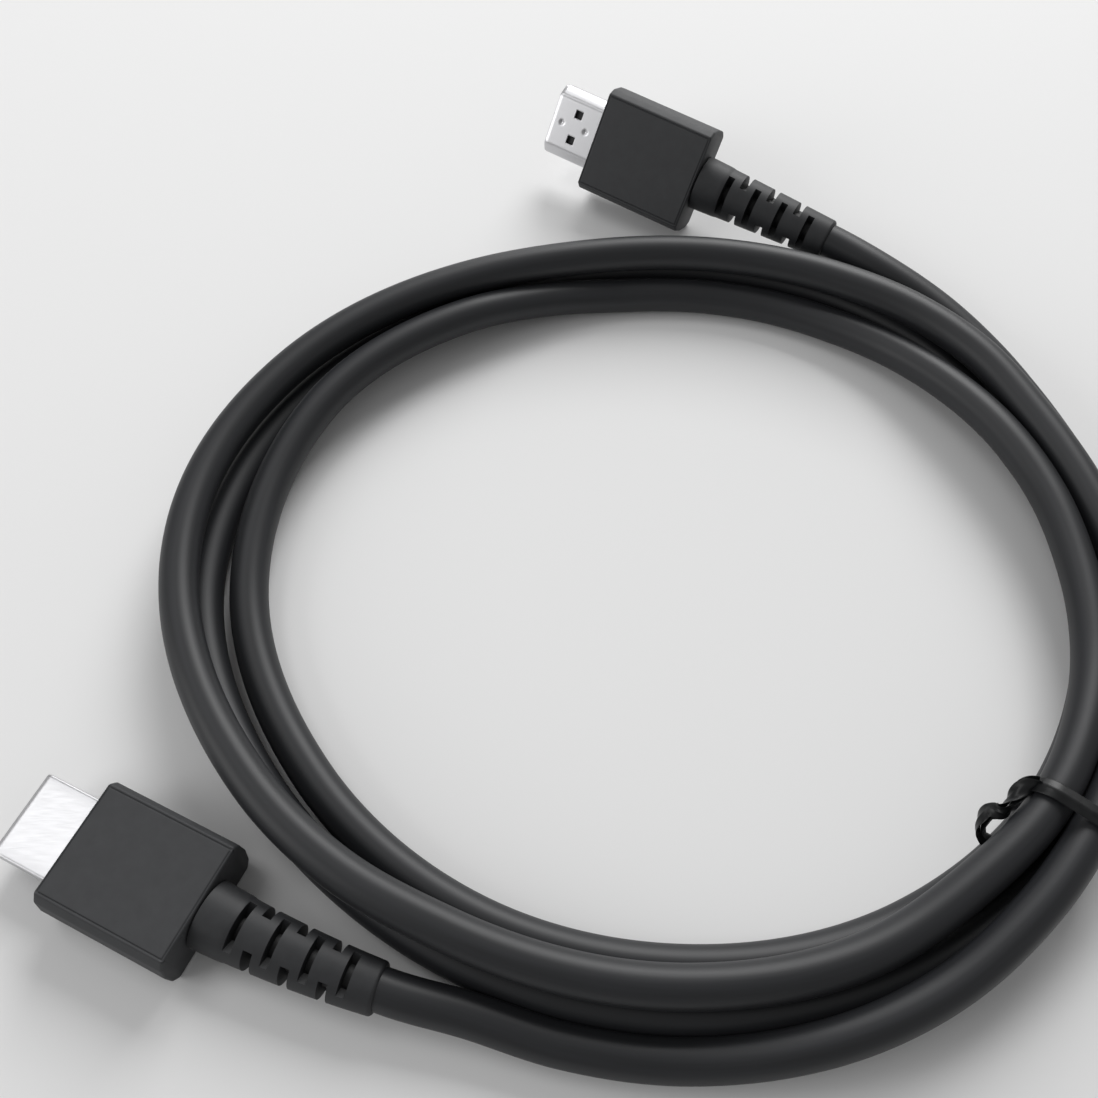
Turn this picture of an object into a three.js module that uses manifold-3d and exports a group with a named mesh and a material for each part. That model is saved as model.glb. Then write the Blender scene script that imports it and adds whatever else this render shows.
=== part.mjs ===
// An HDMI cable of about 1.6 m with a moulded plug on each end, lying in a loose coil of three and a half
// turns that one twist tie holds together. Millimetres, +Z up; the coil lies on the plane z = 0.
import * as THREE from "three";
import { mergeVertices } from "three/addons/utils/BufferGeometryUtils.js";
import Module from "manifold-3d";

const wasm = await Module();
wasm.setup();

// Gaps: between pieces that touch on the real cable, between turns that lie against each other, and under
// the lowest turn, whose flat sides have corners.
const seatGap = 0.3;
const turnGap = 0.15;
const floorGap = 0.1;

// Cable: the round PVC jacket, drawn with flat sides, and where the middle of its coil lies.
const cableDiameter = 6.5;
const cableSides = 10;
const stationsPerTurn = 22;
const coilCentre = new THREE.Vector2(20, -8.5);

// Shell: the folded steel tube that goes into the socket, wide side up, with both lower corners cut off.
const shellWidth = 13.9;
const shellHeight = 4.45;
const shellWall = 0.35;
const shellCornerCut = 1.85;
const shellReach = 10.5;
const shellRoot = 3;
const latchWindow = 1.6;
const latchSpacing = 5.2;
const latchFromMouth = 5.2;

// Insulator: the black block in the shell, with the slot that the socket's tongue goes into.
const insulatorSetback = 0.7;
const tongueSlotWidth = 11.2;
const tongueSlotHeight = 1.7;
const tongueSlotDepth = 7.5;

// Housing: the hard overmould, flat above and below, with sides that bulge a little.
const housingLength = 22.6;
const housingThickness = 10;
const housingFaceWidth = 18.4;
const housingWaistWidth = 21;
const housingShoulderDrop = 1.6;
const housingShoulderWidth = 20.3;
const housingEdge = 0.4;

// Strain relief: the soft tapered sleeve, slotted above and below and notched at the sides in between.
const reliefLength = 28;
const reliefRootWidth = 10.4;
const reliefMouthWidth = 7.9;
const reliefFlatness = 0.93;
const reliefEdge = 0.5;
const reliefSlotCount = 4;
const reliefFirstSlot = 5.6;
const reliefSlotPitch = 5.8;
const reliefSlotWidth = 0.9;
const reliefCore = 2.7;
const reliefSegments = 24;

// Twist tie: a flat ribbon once around the bundle, its two ends twisted together on the inner side.
const tieAngle = 323;
const tieWidth = 3.2;
const tieThickness = 0.7;
const tieClearance = 0.35;
const tieLift = 1.1;
const tieLiftSpread = 26;
const twistLength = 9;
const twistWidth = 2.4;
const twistTurns = 1.25;
const twistDroop = 44;
const twistSweep = 68;

// How each plug leaves the end of the cable: the turn in its relief, its nose's rise and its roll, in degrees.
const nearPlug = { bend: -8, rise: 0, roll: 0 };
const farPlug = { bend: 1.2, rise: 3.4, roll: 126.5 };

const finish = {
  steel: new THREE.MeshStandardMaterial({ color: 0xc9cbce, roughness: 0.28, metalness: 1 }),
  insulator: new THREE.MeshStandardMaterial({ color: 0x17181a, roughness: 0.5, metalness: 0 }),
  housing: new THREE.MeshStandardMaterial({ color: 0x26272a, roughness: 0.42, metalness: 0 }),
  relief: new THREE.MeshStandardMaterial({ color: 0x222326, roughness: 0.6, metalness: 0 }),
  jacket: new THREE.MeshStandardMaterial({ color: 0x2a2b2d, roughness: 0.45, metalness: 0 }),
  tie: new THREE.MeshStandardMaterial({ color: 0x1b1c1e, roughness: 0.35, metalness: 0 }),
};

// Joining and cutting closed meshes.
function solidOf(geometry) {
  const bare = geometry.index ? geometry.toNonIndexed() : geometry.clone();
  bare.deleteAttribute("normal");
  bare.deleteAttribute("uv");
  const merged = mergeVertices(bare, 1e-4);
  return new wasm.Manifold(
    new wasm.Mesh({
      numProp: 3,
      vertProperties: merged.attributes.position.array,
      triVerts: new Uint32Array(merged.index.array),
    }),
  );
}

function geometryOf(solid) {
  const mesh = solid.getMesh();
  const geometry = new THREE.BufferGeometry();
  geometry.setAttribute("position", new THREE.BufferAttribute(mesh.vertProperties, 3));
  geometry.setIndex(new THREE.BufferAttribute(mesh.triVerts, 1));
  geometry.computeVertexNormals();
  return geometry;
}

function cut(geometry, ...tools) {
  return geometryOf(tools.reduce((rest, tool) => rest.subtract(solidOf(tool)), solidOf(geometry)));
}

function join(geometry, ...others) {
  return geometryOf(others.reduce((whole, other) => whole.add(solidOf(other)), solidOf(geometry)));
}

// A box from its lowest and highest corners.
function boxBetween(low, high) {
  const size = high.map((value, axis) => value - low[axis]);
  const middle = high.map((value, axis) => (value + low[axis]) / 2);
  return new THREE.BoxGeometry(...size).translate(...middle);
}

// Turns a shape drawn in (y, z) and raised along its own third axis so that it runs along +X from startX.
function alongX(shape, length, startX, edge = 0) {
  const options = { depth: length - 2 * edge, bevelEnabled: edge > 0, steps: 1 };
  Object.assign(options, { bevelSize: edge, bevelThickness: edge, bevelOffset: -edge, bevelSegments: 1 });
  const axes = [new THREE.Vector3(0, 1, 0), new THREE.Vector3(0, 0, 1), new THREE.Vector3(1, 0, 0)];
  const turned = new THREE.ExtrudeGeometry(shape, options).applyMatrix4(new THREE.Matrix4().makeBasis(...axes));
  return turned.translate(startX + edge, 0, 0);
}

function shapeOf(points) {
  return new THREE.Shape(points.map(([y, z]) => new THREE.Vector2(y, z)));
}

// The coil. Turns lie in lanes side by side, counted outwards from the innermost one, and at levels, counted
// up from the floor; both are in pitches of one diameter and its gap. The innermost lane is nearly round: its
// radius is given every 30 degrees about the coil's centre.
const pitch = cableDiameter + turnGap;
const innerRadii = [71.6, 69.6, 66, 64.2, 65.6, 70.4, 70.9, 66.8, 64.3, 63.6, 65.9, 69.4];

function innerRadius(degrees) {
  const count = innerRadii.length;
  const position = (((degrees / 360) % 1) + 1) * count;
  const index = Math.floor(position);
  const t = position - index;
  const [before, from, to, after] = [-1, 0, 1, 2].map((step) => innerRadii[(index + step) % count]);
  const bend = 2 * before - 5 * from + 4 * to - after + t * (3 * (from - to) + after - before);
  return from + 0.5 * t * (to - before + t * bend);
}

// The route, from the near plug to the far plug: degrees about the coil's centre, lane and level.
const route = [
  [236.9, 2.35, 0.26],
  [246, 1.96, 0.14],
  [256, 1.93, 0.03],
  [270, 1.93, 0.05],
  [285, 1.86, 0.52],
  [300, 1.6, 0.8],
  [312, 1.27, 0.97],
  [323, 1, 1],
  [345, 0.78, 0.97],
  [360, 0.55, 0.93],
  [372, 0.42, 0.95],
  [385, 0.47, 0.96],
  [397, 0.72, 1],
  [409, 0.85, 1],
  [420, 0.82, 1],
  [441, 0.74, 1],
  [463, 0.72, 1],
  [485, 1.02, 1],
  [507, 1.24, 1],
  [529, 1.57, 1],
  [545, 1.53, 1],
  [570, 1.28, 1],
  [585, 1.02, 1],
  [600, 0.72, 1],
  [630, 0.6, 0.96],
  [650, 0.45, 0.96],
  [668, 0.12, 1],
  [683, 0, 1],
  [702, -0.27, 0.97],
  [720, -0.57, 0.92],
  [732, -0.6, 0.92],
  [745, -0.57, 0.86],
  [757, -0.45, 0.62],
  [769, -0.2, 0.28],
  [780, -0.08, 0.09],
  [793, 0, 0.01],
  [815, 0, 0],
  [829, 0, 0.28],
  [843, 0, 0.6],
  [866, 0, 0.62],
  [885, 0, 0.36],
  [905, 0, 0.08],
  [925, 0, 0],
  [1060, 0, 0],
  [1090, 0, 0],
  [1105, 0.05, 0],
  [1117, 0.42, 0],
  [1129, 0.8, 0],
  [1140, 0.98, 0],
  [1152, 1.02, 0],
  [1180, 0.98, 0],
  [1203, 0.82, 0],
  [1226, 0.82, 0],
  [1245, 1.02, 0],
  [1262, 1.16, 0],
  [1285, 1.12, 0],
  [1310, 1, 0],
  [1350, 1, 0],
  [1403, 1, 0],
  [1425, 1.02, 0],
  [1440, 1.04, 0],
  [1452, 1.07, 0],
  [1461, 1.14, 0],
  [1470, 1.38, 0],
  [1478, 1.68, 0.06],
  [1487, 1.9, 0.34],
  [1497, 2.06, 0.68],
  [1504.4, 2.28, 0.85],
];

// A smooth curve through the route's lanes or levels, with the slope at each point that its neighbours give.
function alongRoute(degrees, column) {
  const last = route.length - 2;
  const next = route.findIndex(([angle]) => angle > degrees);
  const index = next < 0 ? last : Math.max(0, next - 1);
  const slopeAt = (k) => {
    const [before, after] = [route[Math.max(0, k - 1)], route[Math.min(last + 1, k + 1)]];
    return (after[column] - before[column]) / (after[0] - before[0]);
  };
  const [from, to] = [route[index], route[index + 1]];
  const span = to[0] - from[0];
  const t = Math.min(1, (degrees - from[0]) / span);
  const eased = t * t * (3 - 2 * t);
  const leave = t * (1 - t) ** 2 * span * slopeAt(index);
  const arrive = t * t * (1 - t) * span * slopeAt(index + 1);
  return from[column] + (to[column] - from[column]) * eased + leave - arrive;
}

// Where the tie holds the bundle, the whole bundle rides over the ribbon's thickness.
function liftAt(degrees) {
  const away = Math.abs(((((degrees - tieAngle) % 360) + 540) % 360) - 180) / tieLiftSpread;
  return away < 1 ? tieLift * (1 - away * away) ** 2 : 0;
}

function pointAt(degrees) {
  const radius = innerRadius(degrees) + alongRoute(degrees, 1) * pitch;
  const height = floorGap + cableDiameter / 2 + alongRoute(degrees, 2) * pitch + liftAt(degrees);
  const angle = THREE.MathUtils.degToRad(degrees);
  return new THREE.Vector3(
    coilCentre.x + radius * Math.cos(angle),
    coilCentre.y + radius * Math.sin(angle),
    height,
  );
}

const routeStart = route[0][0];
const routeEnd = route[route.length - 1][0];

// The stations of the jacket's sections lie at the same angles in every turn, counted from the tie, so that
// the flats of neighbouring turns lie beside each other.
const stationStep = 360 / stationsPerTurn;
const firstStation = Math.floor((routeStart - tieAngle) / stationStep);
const lastStation = Math.ceil((routeEnd - tieAngle) / stationStep);

// The curve that the jacket follows.
class CableRoute extends THREE.Curve {
  getPoint(t) {
    const station = THREE.MathUtils.lerp(firstStation, lastStation, t);
    const whole = Math.min(lastStation - 1, Math.floor(station));
    const clamped = (k) => THREE.MathUtils.clamp(tieAngle + k * stationStep, routeStart, routeEnd);
    return pointAt(THREE.MathUtils.lerp(clamped(whole), clamped(whole + 1), station - whole));
  }

  getUtoTmapping(u) {
    return u;
  }
}

function jacketGeometry() {
  const section = new THREE.Shape();
  for (let side = 0; side < cableSides; side += 1) {
    const angle = (2 * Math.PI * side) / cableSides;
    const corner = [(cableDiameter / 2) * Math.cos(angle), (cableDiameter / 2) * Math.sin(angle)];
    if (side === 0) section.moveTo(...corner);
    else section.lineTo(...corner);
  }
  section.closePath();
  const steps = lastStation - firstStation;
  return new THREE.ExtrudeGeometry(section, { extrudePath: new CableRoute(), steps, bevelEnabled: false });
}

// The shell's outline, or one that lies outside it by grow.
function shellShape(grow) {
  const side = shellWidth / 2 + grow;
  const top = shellHeight / 2 + grow;
  const slant = shellCornerCut + grow * (2 - Math.SQRT2);
  return shapeOf([
    [side, -top + slant],
    [side, top],
    [-side, top],
    [-side, -top + slant],
    [-side + slant, -top],
    [side - slant, -top],
  ]);
}

// Plug pieces, in a frame with its origin in the middle of the housing's front face and +X to the nose.
function shellGeometry() {
  const outside = alongX(shellShape(0), shellReach + shellRoot, -shellRoot);
  const inside = alongX(shellShape(-shellWall), shellReach + shellRoot + 2, -shellRoot - 1);
  const windows = [-1, 1].map((side) => {
    const middle = [shellReach - latchFromMouth, (side * latchSpacing) / 2];
    const half = latchWindow / 2;
    return boxBetween(
      [middle[0] - half, middle[1] - half, -shellHeight / 2 - shellWall],
      [middle[0] + half, middle[1] + half, -shellHeight / 2 + 2 * shellWall],
    );
  });
  return cut(outside, inside, ...windows);
}

function insulatorGeometry() {
  const front = shellReach - insulatorSetback;
  const block = alongX(shellShape(-shellWall - seatGap), front + shellRoot, -shellRoot);
  const slot = boxBetween(
    [front - tongueSlotDepth, -tongueSlotWidth / 2, -tongueSlotHeight / 2],
    [front + 1, tongueSlotWidth / 2, tongueSlotHeight / 2],
  );
  return cut(block, slot);
}

function housingShape() {
  const half = housingThickness / 2;
  const corners = [
    [housingShoulderWidth / 2, half - housingShoulderDrop],
    [housingFaceWidth / 2, half],
  ];
  const mirrored = (side, up) => corners.map(([y, z]) => [side * y, up * z]);
  return shapeOf([
    [housingWaistWidth / 2, 0],
    ...mirrored(1, 1),
    ...mirrored(-1, 1).reverse(),
    [-housingWaistWidth / 2, 0],
    ...mirrored(-1, -1),
    ...mirrored(1, -1).reverse(),
  ]);
}

function housingGeometry() {
  const block = alongX(housingShape(), housingLength, -housingLength, housingEdge);
  const pocket = alongX(shellShape(seatGap), shellRoot + seatGap + 1, -shellRoot - seatGap);
  return cut(block, pocket);
}

// The relief runs along +X from its mouth, where the cable goes in, to its root at the housing.
function reliefGeometry(roll, bend) {
  const [mouth, root] = [reliefMouthWidth / 2, reliefRootWidth / 2];
  const profile = [new THREE.Vector2(0, 0), new THREE.Vector2(mouth - reliefEdge, 0)];
  const rings = 2 * reliefSlotCount;
  for (let ring = 0; ring <= rings; ring += 1) {
    const x = reliefEdge + ((reliefLength - reliefEdge) * ring) / rings;
    profile.push(new THREE.Vector2(mouth + ((root - mouth) * x) / reliefLength, x));
  }
  profile.push(new THREE.Vector2(0, reliefLength));
  const sleeve = new THREE.LatheGeometry(profile, reliefSegments).rotateZ(-Math.PI / 2);
  const wide = root + 1;
  const tools = [];
  for (let slot = 0; slot < reliefSlotCount; slot += 1) {
    const x = reliefLength - reliefFirstSlot - slot * reliefSlotPitch;
    for (const side of [-1, 1]) {
      const [low, high] = side > 0 ? [reliefCore, wide] : [-wide, -reliefCore];
      tools.push(boxBetween([x - reliefSlotWidth, -wide, low], [x, wide, high]));
      if (slot < reliefSlotCount - 1) {
        const between = x - reliefSlotPitch / 2;
        tools.push(boxBetween([between - reliefSlotWidth, low, -wide], [between, high, wide]));
      }
    }
  }
  const straight = cut(sleeve, ...tools).scale(1, 1, reliefFlatness).rotateX(roll);
  return bent(straight, bend);
}

// Bends a piece that runs along +X over the relief's length, sideways, to a circular arc.
function bent(geometry, bend) {
  const place = geometry.attributes.position;
  for (let k = 0; k < place.count; k += 1) {
    const [x, y] = [place.getX(k), place.getY(k)];
    const angle = (bend * x) / reliefLength;
    const radius = reliefLength / bend;
    place.setX(k, (radius - y) * Math.sin(angle));
    place.setY(k, radius - (radius - y) * Math.cos(angle));
  }
  return geometry;
}

function named(name, geometry, material) {
  const mesh = new THREE.Mesh(geometry, material);
  mesh.name = name;
  return mesh;
}

// A plug on the end of the cable. heading is the way out of the cable's end, seen from above.
function plugGroup(name, end, heading, { bend, rise, roll }) {
  const [bendAngle, riseAngle, rollAngle] = [bend, rise, roll].map(THREE.MathUtils.degToRad);
  const plug = new THREE.Group();
  plug.position.copy(end);
  plug.rotation.set(0, -riseAngle, heading, "ZYX");

  const relief = named(`${name}_strain_relief`, reliefGeometry(rollAngle, bendAngle), finish.relief);
  relief.position.x = seatGap;
  plug.add(relief);

  const radius = reliefLength / bendAngle;
  const body = new THREE.Group();
  body.position.set(seatGap + radius * Math.sin(bendAngle), radius * (1 - Math.cos(bendAngle)), 0);
  body.rotation.set(0, 0, bendAngle);
  const head = new THREE.Group();
  head.position.x = seatGap + housingLength;
  head.rotation.x = rollAngle;
  head.add(named(`${name}_housing`, housingGeometry(), finish.housing));
  head.add(named(`${name}_shell`, shellGeometry(), finish.steel));
  head.add(named(`${name}_insulator`, insulatorGeometry(), finish.insulator));
  body.add(head);
  plug.add(body);
  return plug;
}

// The tie's loop, drawn in the plane across the bundle: x outwards from the coil's centre and y up.
function roundedSquare(half, corner) {
  const shape = new THREE.Shape();
  for (let quarter = 0; quarter < 4; quarter += 1) {
    const turn = (quarter * Math.PI) / 2;
    const centre = new THREE.Vector2(half - corner, half - corner).rotateAround(new THREE.Vector2(), turn);
    shape.absarc(centre.x, centre.y, corner, turn, turn + Math.PI / 2, false);
  }
  return shape;
}

function tieGeometry() {
  const inner = pitch / 2 + cableDiameter / 2 + tieClearance;
  const corner = cableDiameter / 2 + tieClearance;
  const loop = roundedSquare(inner + tieThickness, corner + tieThickness);
  loop.holes.push(roundedSquare(inner, corner));
  const ring = new THREE.ExtrudeGeometry(loop, { depth: tieWidth, bevelEnabled: false, curveSegments: 5 });
  ring.translate(0, 0, -tieWidth / 2);

  const twist = new THREE.BoxGeometry(twistLength, 2 * tieThickness, twistWidth, 12, 1, 1);
  const place = twist.attributes.position;
  for (let k = 0; k < place.count; k += 1) {
    const [x, y, z] = [place.getX(k), place.getY(k), place.getZ(k)];
    const turn = twistTurns * 2 * Math.PI * (0.5 + x / twistLength);
    place.setY(k, y * Math.cos(turn) - z * Math.sin(turn));
    place.setZ(k, y * Math.sin(turn) + z * Math.cos(turn));
  }
  // From the loop's upper inner corner the twisted ends run inwards, down and back along the cable.
  twist.translate(twistLength / 2, 0, 0);
  twist.rotateZ(-THREE.MathUtils.degToRad(twistDroop));
  twist.rotateY(THREE.MathUtils.degToRad(180 + twistSweep));
  const root = corner + tieThickness + twistWidth / 4;
  twist.translate(-pitch / 2 - root, (pitch + twistWidth) / 2, 0);
  return join(ring, twist);
}

function tieMesh() {
  const angle = THREE.MathUtils.degToRad(tieAngle);
  const radius = innerRadius(tieAngle) + pitch / 2;
  const mesh = named("twist_tie", tieGeometry(), finish.tie);
  mesh.position.set(
    coilCentre.x + radius * Math.cos(angle),
    coilCentre.y + radius * Math.sin(angle),
    floorGap + cableDiameter / 2 + tieLift + pitch / 2,
  );
  const outward = new THREE.Vector3(Math.cos(angle), Math.sin(angle), 0);
  const up = new THREE.Vector3(0, 0, 1);
  mesh.quaternion.setFromRotationMatrix(
    new THREE.Matrix4().makeBasis(outward, up, new THREE.Vector3().crossVectors(outward, up)),
  );
  return mesh;
}

// Heading of the cable at an end of the route, as seen by something leaving the cable there.
function headingAt(degrees, inwards) {
  const step = 1;
  const way = pointAt(degrees).sub(pointAt(degrees + inwards * step));
  return Math.atan2(way.y, way.x);
}

const cable = new THREE.Group();
cable.add(named("cable_jacket", jacketGeometry(), finish.jacket));
cable.add(tieMesh());
const plugs = new THREE.Group();
plugs.add(plugGroup("near", pointAt(routeStart), headingAt(routeStart, 1), nearPlug));
plugs.add(plugGroup("far", pointAt(routeEnd), headingAt(routeEnd, -1), farPlug));
cable.add(plugs);

// The origin lies on the floor, under the middle of the box around the two plugs.
const middle = new THREE.Box3().setFromObject(plugs, true).getCenter(new THREE.Vector3());
cable.position.set(-middle.x, -middle.y, 0);

const part = new THREE.Group();
part.add(cable);

export default part;
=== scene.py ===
# %% [markdown]
# # A coiled video cable
# The object is a cable of about 1.6 m with a moulded plug on each end. It lies on a floor in a loose coil of
# three and a half turns, and a twist tie holds the turns together. The solids of the part come from a frame
# that is already at its real size. This lesson dresses them: every surface is worked out with numpy as a grid
# of points, and gets the finish of the real material.

# %% Load the frame
import math

import bmesh
import bpy
import numpy as np
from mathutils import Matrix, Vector


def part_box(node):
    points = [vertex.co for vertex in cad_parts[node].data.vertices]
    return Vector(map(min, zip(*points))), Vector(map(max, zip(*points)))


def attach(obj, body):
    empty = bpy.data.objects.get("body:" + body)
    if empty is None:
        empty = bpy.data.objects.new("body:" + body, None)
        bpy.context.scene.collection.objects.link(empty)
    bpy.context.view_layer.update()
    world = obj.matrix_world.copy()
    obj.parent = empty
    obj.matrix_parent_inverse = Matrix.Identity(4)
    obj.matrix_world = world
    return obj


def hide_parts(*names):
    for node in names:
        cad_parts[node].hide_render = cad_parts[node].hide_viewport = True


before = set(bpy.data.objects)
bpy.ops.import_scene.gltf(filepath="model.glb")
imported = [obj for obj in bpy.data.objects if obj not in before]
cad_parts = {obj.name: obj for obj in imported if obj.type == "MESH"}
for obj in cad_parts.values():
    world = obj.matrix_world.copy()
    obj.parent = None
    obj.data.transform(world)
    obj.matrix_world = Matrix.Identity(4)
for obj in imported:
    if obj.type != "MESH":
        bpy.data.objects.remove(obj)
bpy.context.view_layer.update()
MM = 0.001
print("nodes:", ", ".join(sorted(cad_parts)))


# %% [markdown]
# ## Meshes and materials
# A grid of points is the simplest surface: rows run one way and columns the other, and each square between
# four neighbours is a face. A tube is a grid whose columns close on themselves. Two helpers are enough for
# the whole object, one for the mesh and one that adds a node to a material.

# %% A mesh from grids
def grid_faces(rows, columns, first=0, closed=False):
    """Faces of a grid of rows x columns points, numbered row by row. Corner order is (r, c), (r, c+1),
    (r+1, c+1), (r+1, c). A closed grid joins its last column to its first."""
    last = columns if closed else columns - 1
    r, c = np.meshgrid(np.arange(rows - 1), np.arange(last), indexing="ij")
    right = (c + 1) % columns
    corners = (r * columns + c, r * columns + right, (r + 1) * columns + right, (r + 1) * columns + c)
    return first + np.stack(corners, -1).reshape(-1, 4)


def make_piece(name, points, faces, material, replaced=(), flat_angle=40, carried=None):
    """One object from points in millimetres and lists of faces. Edges sharper than flat_angle stay sharp.
    carried holds what else each point carries for its material: names with vectors or numbers."""
    mesh = bpy.data.meshes.new(name)
    mesh.from_pydata((np.asarray(points) * MM).tolist(), [], [list(map(int, face)) for face in faces])
    mesh.update()
    obj = bpy.data.objects.new(name, mesh)
    bpy.context.scene.collection.objects.link(obj)
    mesh.materials.append(material)
    mesh.shade_smooth()
    mesh.set_sharp_from_angle(angle=math.radians(flat_angle))
    for key, values in (carried or {}).items():
        kind, field = ("FLOAT_VECTOR", "vector") if values.ndim == 2 else ("FLOAT", "value")
        mesh.attributes.new(key, kind, "POINT").data.foreach_set(field, values.ravel())
    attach(obj, "root")
    if replaced:
        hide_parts(*replaced)
    return obj


def weld_and_turn_out(obj, distance=0.002):
    """Merges points that lie together and turns every face outwards."""
    edit = bmesh.new()
    edit.from_mesh(obj.data)
    bmesh.ops.remove_doubles(edit, verts=edit.verts, dist=distance * MM)
    bmesh.ops.recalc_face_normals(edit, faces=edit.faces)
    edit.to_mesh(obj.data)
    edit.free()
    return obj


# %% Colours and nodes
def linear(code):
    """An sRGB hex code as linear RGBA: each channel c becomes ((c + 0.055) / 1.055) ** 2.4 above 0.04045."""
    channels = [int(code[k : k + 2], 16) / 255 for k in (1, 3, 5)]
    return (*[c / 12.92 if c <= 0.04045 else ((c + 0.055) / 1.055) ** 2.4 for c in channels], 1)


def add_node(material, kind, settings=None, inputs=None, **links):
    """Adds one node: settings are its properties, inputs its socket values, links socket names to outputs."""
    node = material.node_tree.nodes.new(kind)
    for key, value in (settings or {}).items():
        setattr(node, key, value)
    for key, value in (inputs or {}).items():
        node.inputs[key].default_value = value
    for key, output in links.items():
        material.node_tree.links.new(output, node.inputs[key.replace("_", " ")])
    return node


def new_material(name, colour, **sockets):
    """A material with one Principled shader; the sockets given by name get fixed values."""
    material = bpy.data.materials.new(name)
    material.use_nodes = True
    shader = material.node_tree.nodes["Principled BSDF"]
    shader.inputs["Base Color"].default_value = linear(colour)
    for key, value in sockets.items():
        shader.inputs[key.replace("_", " ")].default_value = value
    return material, shader


# %% [markdown]
# ## Moulded plastics
# The jacket is flexible PVC, drawn through a die: satin, with faint streaks along the cable. The housings
# are ABS with a spark-eroded texture from the mould, which spreads the highlight until the face looks evenly
# grey. The reliefs are soft PVC, a little rougher. A pattern is a noise in metres, so a scale of 1 / (size
# in metres) gives grains of that size. Most read Object coordinates. The jacket reads where each point lies
# on the straight cable, and stretches the noise along it, so that its streaks follow every turn.

# %% Plastic finishes
def moulded(name, colour, worn, roughness, grain, depth, mottle, specular, drawn=False, cuts=False):
    """Plastic: the colour varies over mottle millimetres, and the surface has bumps of grain millimetres.
    With cuts, the colour falls to a quarter in a cut: painted shade in the relief's recesses."""
    material, shader = new_material(name, colour, Roughness=roughness, Specular_IOR_Level=specular)
    place = add_node(material, "ShaderNodeTexCoord").outputs["Object"]
    if drawn:
        straight = add_node(material, "ShaderNodeAttribute", {"attribute_name": "laid_straight"})
        stretched = {"Scale": (0.04, 1, 1)}
        place = add_node(material, "ShaderNodeMapping", inputs=stretched, Vector=straight.outputs["Vector"])
        place = place.outputs["Vector"]
    wide = {"Scale": 1 / (mottle * MM), "Detail": 3, "Roughness": 0.6}
    cloud = add_node(material, "ShaderNodeTexNoise", inputs=wide, Vector=place).outputs["Fac"]
    tone = add_node(material, "ShaderNodeValToRGB", Fac=cloud)
    for element, position, code in zip(tone.color_ramp.elements, (0.3, 0.75), (colour, worn)):
        element.position = position
        element.color = linear(code)
    shown = tone.outputs["Color"]
    # Painted shade: in a relief's cuts the colour falls to a quarter.
    if cuts:
        cut = add_node(material, "ShaderNodeAttribute", {"attribute_name": "cut"}).outputs["Fac"]
        left = add_node(material, "ShaderNodeMapRange", inputs={"To Min": 1, "To Max": 0.25}, Value=cut)
        left = left.outputs["Result"]
        shown = add_node(material, "ShaderNodeVectorMath", {"operation": "SCALE"}, Vector=shown, Scale=left)
        shown = shown.outputs["Vector"]
    material.node_tree.links.new(shown, shader.inputs["Base Color"])
    span = {"To Min": roughness - 0.05, "To Max": roughness + 0.07}
    gloss = add_node(material, "ShaderNodeMapRange", inputs=span, Value=cloud)
    material.node_tree.links.new(gloss.outputs["Result"], shader.inputs["Roughness"])
    fine = {"Scale": 1 / (grain * MM), "Detail": 2, "Roughness": 0.7}
    grains = add_node(material, "ShaderNodeTexNoise", inputs=fine, Vector=place).outputs["Fac"]
    raised = {"Strength": 0.35, "Distance": depth * MM}
    bump = add_node(material, "ShaderNodeBump", inputs=raised, Height=grains)
    material.node_tree.links.new(bump.outputs["Normal"], shader.inputs["Normal"])
    return material


# Flexible PVC, drawn: satin. Its streaks are drawn 0.35 mm wide, coarser than real ones, so that they show.
jacket_pvc = moulded("extruded_black_pvc", "#1f2022", "#26272a", 0.46, 0.35, 0.010, 1.2, 0.42, drawn=True)
# ABS with a spark-eroded texture of 0.3 mm: matte, so the face looks evenly grey.
housing_abs = moulded("spark_textured_black_abs", "#2e2f31", "#363739", 0.62, 0.3, 0.025, 2.5, 0.5)
# Soft PVC from a mould that was blasted more finely: between the two. Its cuts carry painted shade.
relief_pvc = moulded("moulded_soft_black_pvc", "#222325", "#2a2b2d", 0.55, 0.3, 0.02, 2.0, 0.42, cuts=True)
# PVC ribbon, rolled smooth: shiny.
tie_pvc = moulded("rolled_black_pvc_ribbon", "#0f1011", "#191a1b", 0.33, 0.3, 0.012, 1.5, 0.3)
# Glass-filled liquid crystal polymer: black, dull and hard.
insulator_lcp = moulded("moulded_black_lcp", "#131415", "#1b1c1e", 0.5, 0.2, 0.008, 3.0, 0.5)

# %% [markdown]
# ## Metals
# The shell is steel strip, nickel plated and folded, so it has fine rolling lines along the strip and keeps
# soft highlights. The contacts are copper alloy with a flash of gold at the tips. An anisotropic shader would
# stretch the highlight alone, so a stretched noise draws the lines themselves.


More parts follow.
